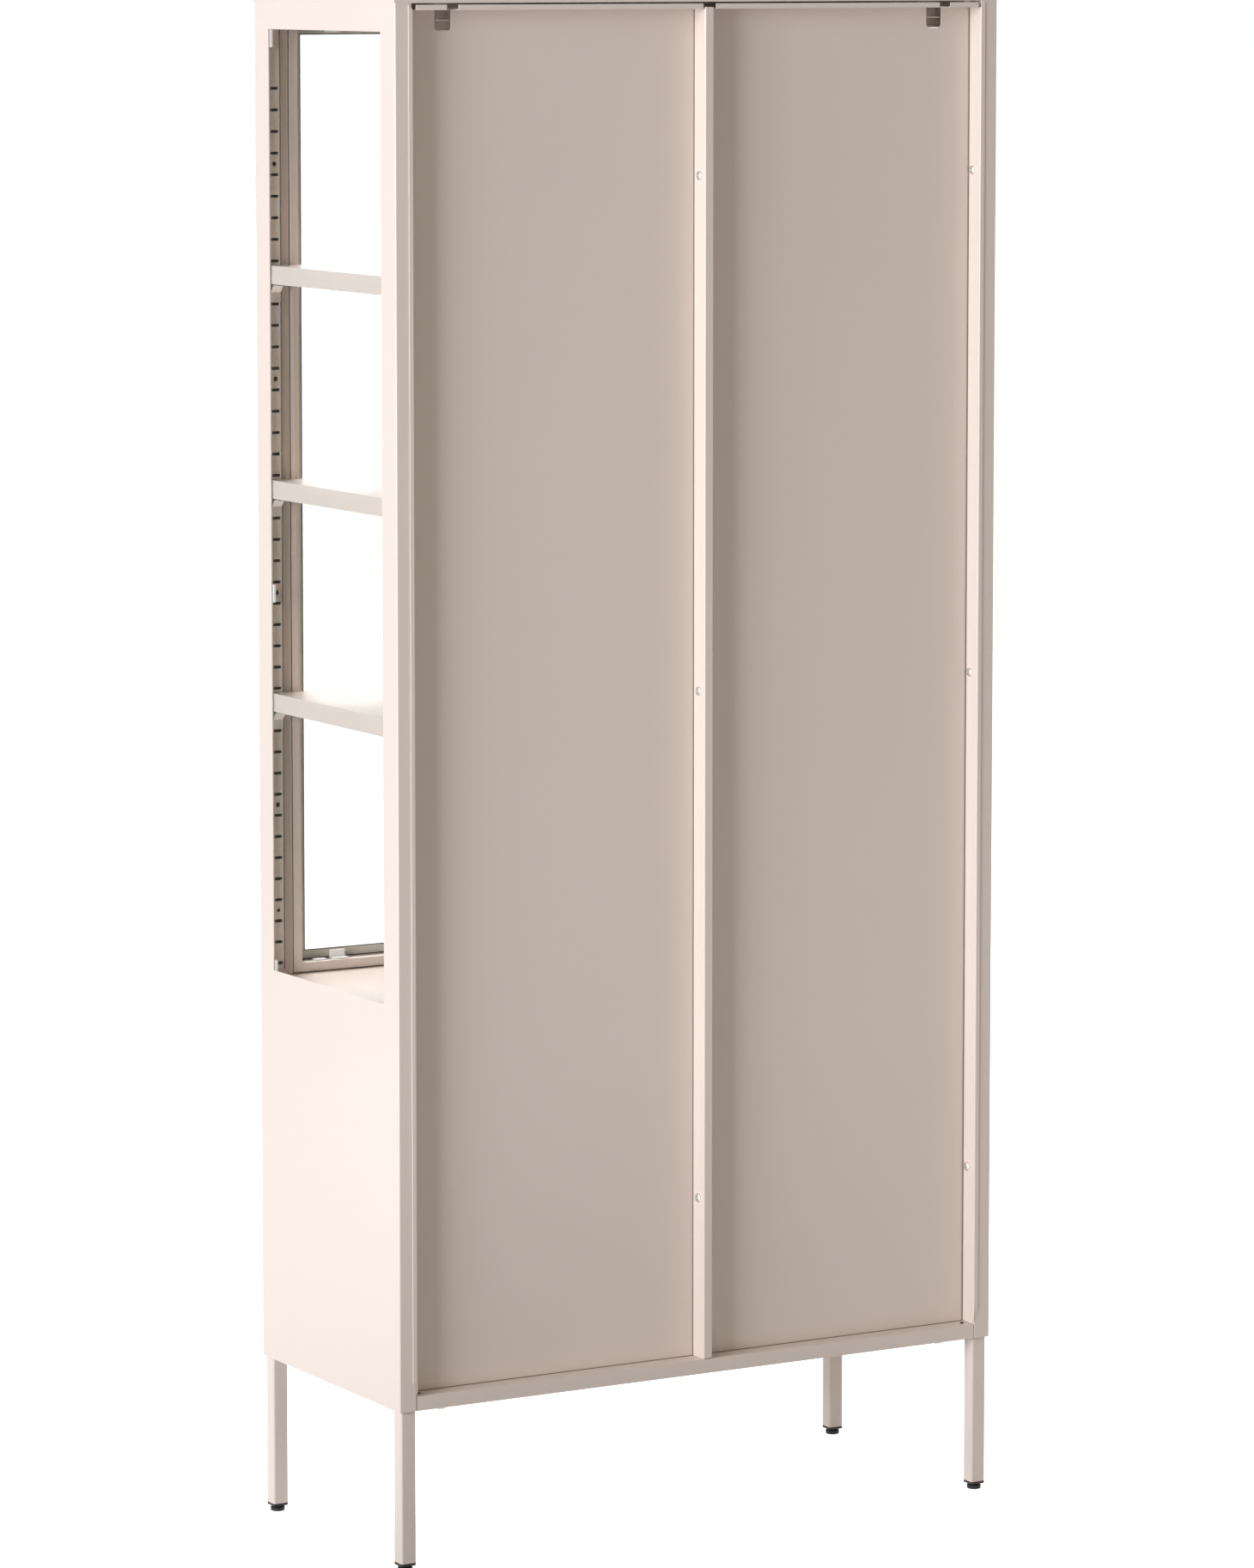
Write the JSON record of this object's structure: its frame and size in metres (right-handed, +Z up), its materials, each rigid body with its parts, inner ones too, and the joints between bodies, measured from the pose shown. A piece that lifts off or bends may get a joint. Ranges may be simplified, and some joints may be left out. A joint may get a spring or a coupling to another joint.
{
  "type": "display cabinet",
  "caption": "Tall sheet steel display cabinet with glazed upper doors and sides, solid lower doors, adjustable shelves, recessed back and square legs.",
  "frame": {"origin": "on the floor, at the middle of the cabinet's outer box, knobs included", "axes": "+Z up, the doors face -Y, +X is the right hand side seen from the front"},
  "size_m": [0.802, 0.371, 1.8],
  "materials": {
    "painted_sheet": "matt beige powder coat",
    "painted_knob": "satin beige powder coat",
    "zinc": "zinc plated steel",
    "clear_glass": "clear, polished",
    "clip_plastic": "translucent white",
    "catch_plastic": "off-white, matt",
    "black_plastic": "black, matt"
  },
  "bodies": {
    "carcass": {"side_panel_right": "painted_sheet", "side_panel_left": "painted_sheet", "upright_front_right": "painted_sheet", "upright_front_left": "painted_sheet", "upright_rear_right": "painted_sheet", "upright_rear_left": "painted_sheet", "top_panel": "painted_sheet", "bottom_panel": "painted_sheet", "mid_floor": "painted_sheet", "back_pan_right": "painted_sheet", "back_pan_left": "painted_sheet", "back_strut": "painted_sheet", "back_screws": "zinc", "shelf_upper": "painted_sheet", "shelf_middle": "painted_sheet", "shelf_lower": "painted_sheet", "shelf_base": "painted_sheet", "shelf_clips_upper": "zinc", "shelf_clips_middle": "zinc", "shelf_clips_lower": "zinc", "shelf_clips_base": "zinc", "side_glass_right": "clear_glass", "side_glass_left": "clear_glass", "side_glass_clips_right": "clip_plastic", "side_glass_clips_left": "clip_plastic", "top_pivot_pins": "zinc", "middle_pivots": "zinc", "bottom_pivot_pins": "zinc", "magnetic_catches": "catch_plastic", "leg_front_right": "painted_sheet", "leg_front_left": "painted_sheet", "leg_rear_right": "painted_sheet", "leg_rear_left": "painted_sheet", "leg_bolts": "zinc", "leg_caps": "black_plastic"},
    "upper_door_right": {"upper_door_right": "painted_sheet", "door_glass_right": "clear_glass", "door_glass_clips_right": "clip_plastic", "upper_knob_right": "painted_knob", "upper_knob_screw_right": "zinc", "upper_keeper_right": "zinc"},
    "lower_door_right": {"lower_door_right": "painted_sheet", "lower_knob_right": "painted_knob", "lower_knob_screw_right": "zinc", "lower_keeper_right": "zinc"},
    "upper_door_left": {"upper_door_left": "painted_sheet", "door_glass_left": "clear_glass", "door_glass_clips_left": "clip_plastic", "upper_knob_left": "painted_knob", "upper_knob_screw_left": "zinc", "upper_keeper_left": "zinc"},
    "lower_door_left": {"lower_door_left": "painted_sheet", "lower_knob_left": "painted_knob", "lower_knob_screw_left": "zinc", "lower_keeper_left": "zinc"},
    "foot_front_right": {"foot_front_right": "black_plastic"},
    "foot_front_left": {"foot_front_left": "black_plastic"},
    "foot_rear_right": {"foot_rear_right": "black_plastic"},
    "foot_rear_left": {"foot_rear_left": "black_plastic"}
  },
  "joints": [
    {"name": "upper_door_right_hinge", "type": "hinge", "parent": "carcass", "child": "upper_door_right", "pos_m": [0.371, -0.1585, 0], "axis": [0, 0, 1], "range_deg": [0, 100]},
    {"name": "lower_door_right_hinge", "type": "hinge", "parent": "carcass", "child": "lower_door_right", "pos_m": [0.371, -0.1585, 0], "axis": [0, 0, 1], "range_deg": [0, 100]},
    {"name": "upper_door_left_hinge", "type": "hinge", "parent": "carcass", "child": "upper_door_left", "pos_m": [-0.371, -0.1585, 0], "axis": [0, 0, -1], "range_deg": [0, 100]},
    {"name": "lower_door_left_hinge", "type": "hinge", "parent": "carcass", "child": "lower_door_left", "pos_m": [-0.371, -0.1585, 0], "axis": [0, 0, -1], "range_deg": [0, 100]},
    {"name": "foot_front_right_screw", "type": "slide", "parent": "carcass", "child": "foot_front_right", "axis": [0, 0, -1], "range_m": [0, 0.01]},
    {"name": "foot_front_left_screw", "type": "slide", "parent": "carcass", "child": "foot_front_left", "axis": [0, 0, -1], "range_m": [0, 0.01]},
    {"name": "foot_rear_right_screw", "type": "slide", "parent": "carcass", "child": "foot_rear_right", "axis": [0, 0, -1], "range_m": [0, 0.01]},
    {"name": "foot_rear_left_screw", "type": "slide", "parent": "carcass", "child": "foot_rear_left", "axis": [0, 0, -1], "range_m": [0, 0.01]}
  ]
}
